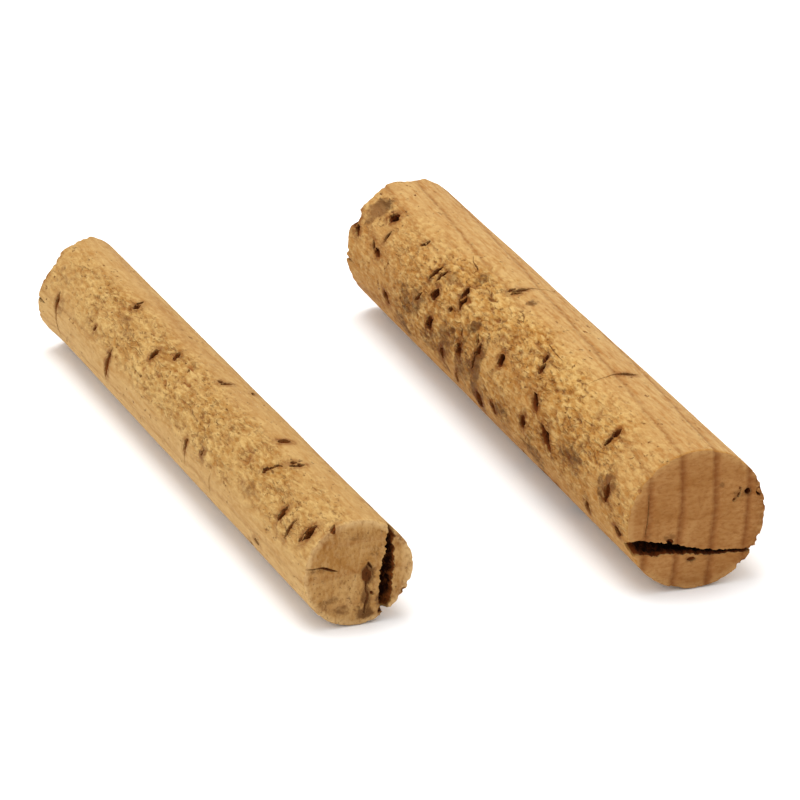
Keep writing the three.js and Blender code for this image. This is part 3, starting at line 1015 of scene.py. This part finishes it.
thinRod = {
    "node": "thin_rod", "body": "thin_rod", "slot": "thin_cork", "endMount": "thin_rod_end",
    "length": 150.0, "farCut": 27.0, "farCutBlend": 35.0, "seed": 11,
    "aroundSteps": 224, "sideSteps": 320, "faceSteps": 10, "rimSoftness": 0.35, "rimChips": 0.4,
    "pith": (0.0, 0.0, -140.0), "ringSpacing": 5.6, "ringLean": 0.02, "ringWaver": 2.4, "ringStep": 0.04,
    "farRagged": 1.3, "farSpare": 0.6, "farTearReach": 9, "splitRagged": 0.34,
    "mostSwell": 1.0, "flares": [(-90, 50, 0.7, 9)], "farFlares": [(95, 55, 0.8, 9)],
    # painted light along the thin rod's left underside
    "paintedSideLightAndShade": [(118, 66, 1.0)],
    "crumblyFaces": [(38, 50, 1.0), (-150, 55, 0.9)], "crumblyFrom": 20.0, "crumblyTo": 110.0,
    "grooveDepth": 0.24,
    "tornSpots": [(70, 38, 20, 5, 0.4), (40, 30, 12, 5, 0.3), (108, 40, 8, 4, 0.3), (60, -150, 18, 6, 0.4)],
    "barkFace": 20, "strayZones": [(-160, -40, 12), (122, 180, 6)],
    "pits": [
        pitAt(4.6, 46, 3.8, 2.5, 80, 2.4, 0.6),
        pitAt(5.6, 55, 2.2, 0.9, 60, 1.2),
        pitAt(11, 57, 4, 1.2, 88, 1.8),
        pitAt(16, 52, 3.1, 1.8, 88, 2),
        pitAt(0.4, 26, 2.8, 1, -40, 1),
        pitAt(-0.4, 40, 1.4, 0.9, -40, 0.7),
        pitAt(27, 4, 2.8, 1.6, 75, 1.8),
        pitAt(28.2, 5, 2.2, 1.2, 10, 1.3),
        pitAt(30.8, 33, 1.6, 1.3, 40, 1.5, 0.1),
        pitAt(29.6, 23, 2.8, 1.1, 55, 1.2),
        pitAt(38.2, -6, 2.5, 1.8, 80, 1.5),
        pitAt(61.4, 79, 2.6, 1.5, 80, 1.3),
        pitAt(68, -5, 2.4, 1.4, 60, 1.5),
        pitAt(69.4, -1.5, 1.8, 1.0, 10, 1.1),
        pitAt(64, -28, 2.4, 0.9, -30, 0.7),
        pitAt(78, 18, 1.4, 0.6, -40, 0.7),
        pitAt(85.5, 16, 3, 1.2, -42, 1.6),
        pitAt(90.8, 33, 2.9, 1.7, -65, 1.9, 0.6),
        pitAt(105.6, 81, 4.6, 1.8, 86, 2.4),
        pitAt(111.5, 9, 1.9, 1.5, -10, 1.6),
        pitAt(112.8, 3, 2.4, 0.9, -60, 0.9),
        pitAt(136.6, 71, 2.6, 1.5, 88, 1.9),
        pitAt(24, 103, 2.6, 1.2, 0, 1.1),
        pitAt(53.4, 70, 1.6, 1.0, 60, 0.8),
        pitAt(116, 61, 1.8, 1.2, 30, 0.9),
        pitAt(0, -58, 1.3, 1.2, 0, 0.5), pitAt(0, -150, 1.8, 1.2, 0, 0.6), pitAt(0, -118, 1.6, 1.2, 0, 0.5),
        pitAt(146, 62, 1.6, 1.6, 0, 0.8), pitAt(148, 34, 1.8, 1.4, 0, 0.7),
    ],
    "facePits": [
        facePit(2, -0.6, 3.4, 1.9, 0, 0.7), facePit(2.4, 1.0, 1.9, 0.9, 20, 0.6),
        facePit(2.8, -4.2, 1.0, 0.7, 40, 0.6), facePit(0.3, -6.5, 0.9, 0.5, 60, 0.3),
        facePit(4.4, -7.6, 1.6, 1.0, -30, 0.9),
        facePit(3, 1, 2.6, 0.9, 20, 1.6, True), facePit(-4, -3, 1.6, 1, 60, 1.2, True),
    ],
    "sideCracks": [
        [(107, 104, 0.3, 0.4), (106.4, 94, 1.1, 1.6), (105.6, 80, 1.6, 2.0), (105.2, 66, 0.7, 0.9),
         (105, 60, 0.2, 0.4)],
        [(136, 122, 0.3, 0.5), (135.6, 104, 0.7, 1.2), (136.2, 88, 1.0, 1.6), (136.8, 72, 1.2, 1.6),
         (137, 60, 0.4, 0.5)],
        [(48.6, 108, 0.15, 0.3), (48, 92, 0.5, 0.5), (47.5, 78, 0.15, 0.3)],
        [(62, 104, 0.15, 0.3), (61.2, 90, 0.6, 0.6), (60.8, 78, 0.3, 0.4)],
        [(70, -150, 0.2, 0.4), (70.4, -165, 0.7, 1.1), (70, -182, 0.2, 0.4)],
    ],
    "faceCracks": [
        [(-10, 2.1, 0.2, 0.3), (-7.5, 2.0, 0.3, 0.5), (-6.2, 1.9, 0.5, 0.9), (-4.6, 1.2, 0.5, 0.9),
         (-3.5, 0.9, 0.15, 0.3)],
        [(1.9, -1.8, 0.8, 0.6), (1.7, -3.4, 0.5, 0.5), (2.1, -4.7, 0.9, 0.5), (1.6, -6.4, 0.7, 0.5),
         (1.4, -7.9, 0.4, 0.4)],
    ],
    "farCracks": [[(-11, 1, 0.8, 3), (-6, 1.4, 0.7, 4), (0, 0.9, 0.4, 3), (4, 1.4, 0.15, 1)]],
    "splits": [
        [(6.5, 11, 0.7, 2), (6.4, 8, 0.9, 2.5), (6.2, 5.5, 1.6, 3.5), (6.1, 3, 2.0, 4),
         (5.7, 0, 2.6, 4.2), (5.5, -3, 2.6, 4), (5.2, -6, 2.3, 3.6), (5.2, -8.4, 1.5, 3),
         (5.2, -11, 1.0, 2)],
    ],
    "faceStains": [
        (2.0, -0.6, 1.3, 2.2, 1.0), (1.7, -4.6, 1.0, 2.2, 0.9), (1.4, -7.8, 1.8, 1.2, 1.0),
        (-5, -4.5, 1.6, 1.0, 0.6), (-3, -6.6, 1.6, 1.0, 0.7), (-6.6, -6, 1.2, 1.6, 0.5),
        (-2.5, -1.2, 1.4, 0.7, 0.4), (0.5, 6.8, 3.2, 0.9, 0.45), (-7.2, 1.6, 2.4, 0.8, 0.4),
        (3.4, 3.6, 1.2, 1.6, 0.4), (4.2, -5.6, 1.0, 1.6, 0.6),
    ],
    "stains": [
        (104, 38, 5, 2.8, 0.42), (115, 60, 4, 2, 0.36), (137, 42, 5, 2.4, 0.4), (134, 72, 1.8, 1.8, 0.5),
        (32, 60, 4, 1.8, 0.5), (53, 70, 2, 2.2, 0.6), (108, 30, 3, 1.6, 0.5), (120, 55, 4, 2, 0.4),
        (80, -140, 6, 3, 0.5), (30, -165, 5, 3, 0.5), (120, -120, 5, 3, 0.5),
    ],
    "bark": dict(
        barkLook, lineStrength=0.2, toneStrength=0.2, skinStrength=0.45, fibreStrength=0.35,
        dashStrength=0.55, creaseStrength=0.4, grooveStrength=0.2, crumbShadeStrength=0.55, crumbHighlightStrength=0.6,
        deep=colour(204, 152, 82), pale=colour(222, 176, 106), skin=colour(208, 168, 112),
        # the grain colour also gives the painted shade in the hollows between crumbs
        grainAndCrumbShade=colour(184, 120, 44),
        # the groove colour is the crevices' browner colour with painted shade in them
        grooveBrownAndShade=colour(158, 94, 34), fleckBrown=colour(146, 88, 34), charcoal=colour(134, 90, 48),
        # painted light colour for the thin rod's left underside
        smoke=colour(172, 124, 74), paintedLightAndShade=colour(232, 188, 124),
        # the pits' black: black blotches with painted shade that deepens into the pits
        pitBrown=colour(156, 86, 34), pitBlackAndShade=colour(48, 20, 6)),
    "sawn": dict(
        sawnLook, lineStrength=0.15, toneStrength=0.2, streak=(0.8, 1.0, 0.55), fleckAmount=0.5,
        fleckStrength=0.5, crumbShadeStrength=0.7, crumbHighlightStrength=0.8, bumpStrength=0.9, bumpDepth=0.4,
        deep=colour(180, 124, 60), pale=colour(218, 170, 106), grainAndCrumbShade=colour(150, 96, 44),
        # the light colour is the painted highlight on the crumbs' tops
        light=colour(232, 188, 128), charcoal=colour(92, 56, 28), smoke=colour(132, 88, 48),
        # painted highlight colour along the near face's rim
        paintedLightAndShade=colour(238, 194, 132),
        # the pits' black: black blotches with painted shade that deepens into the pits
        pitBrown=colour(118, 68, 32), pitBlackAndShade=colour(66, 34, 14)),
}

makeRod(thickRod)
makeRod(thinRod)
print("rods ready")
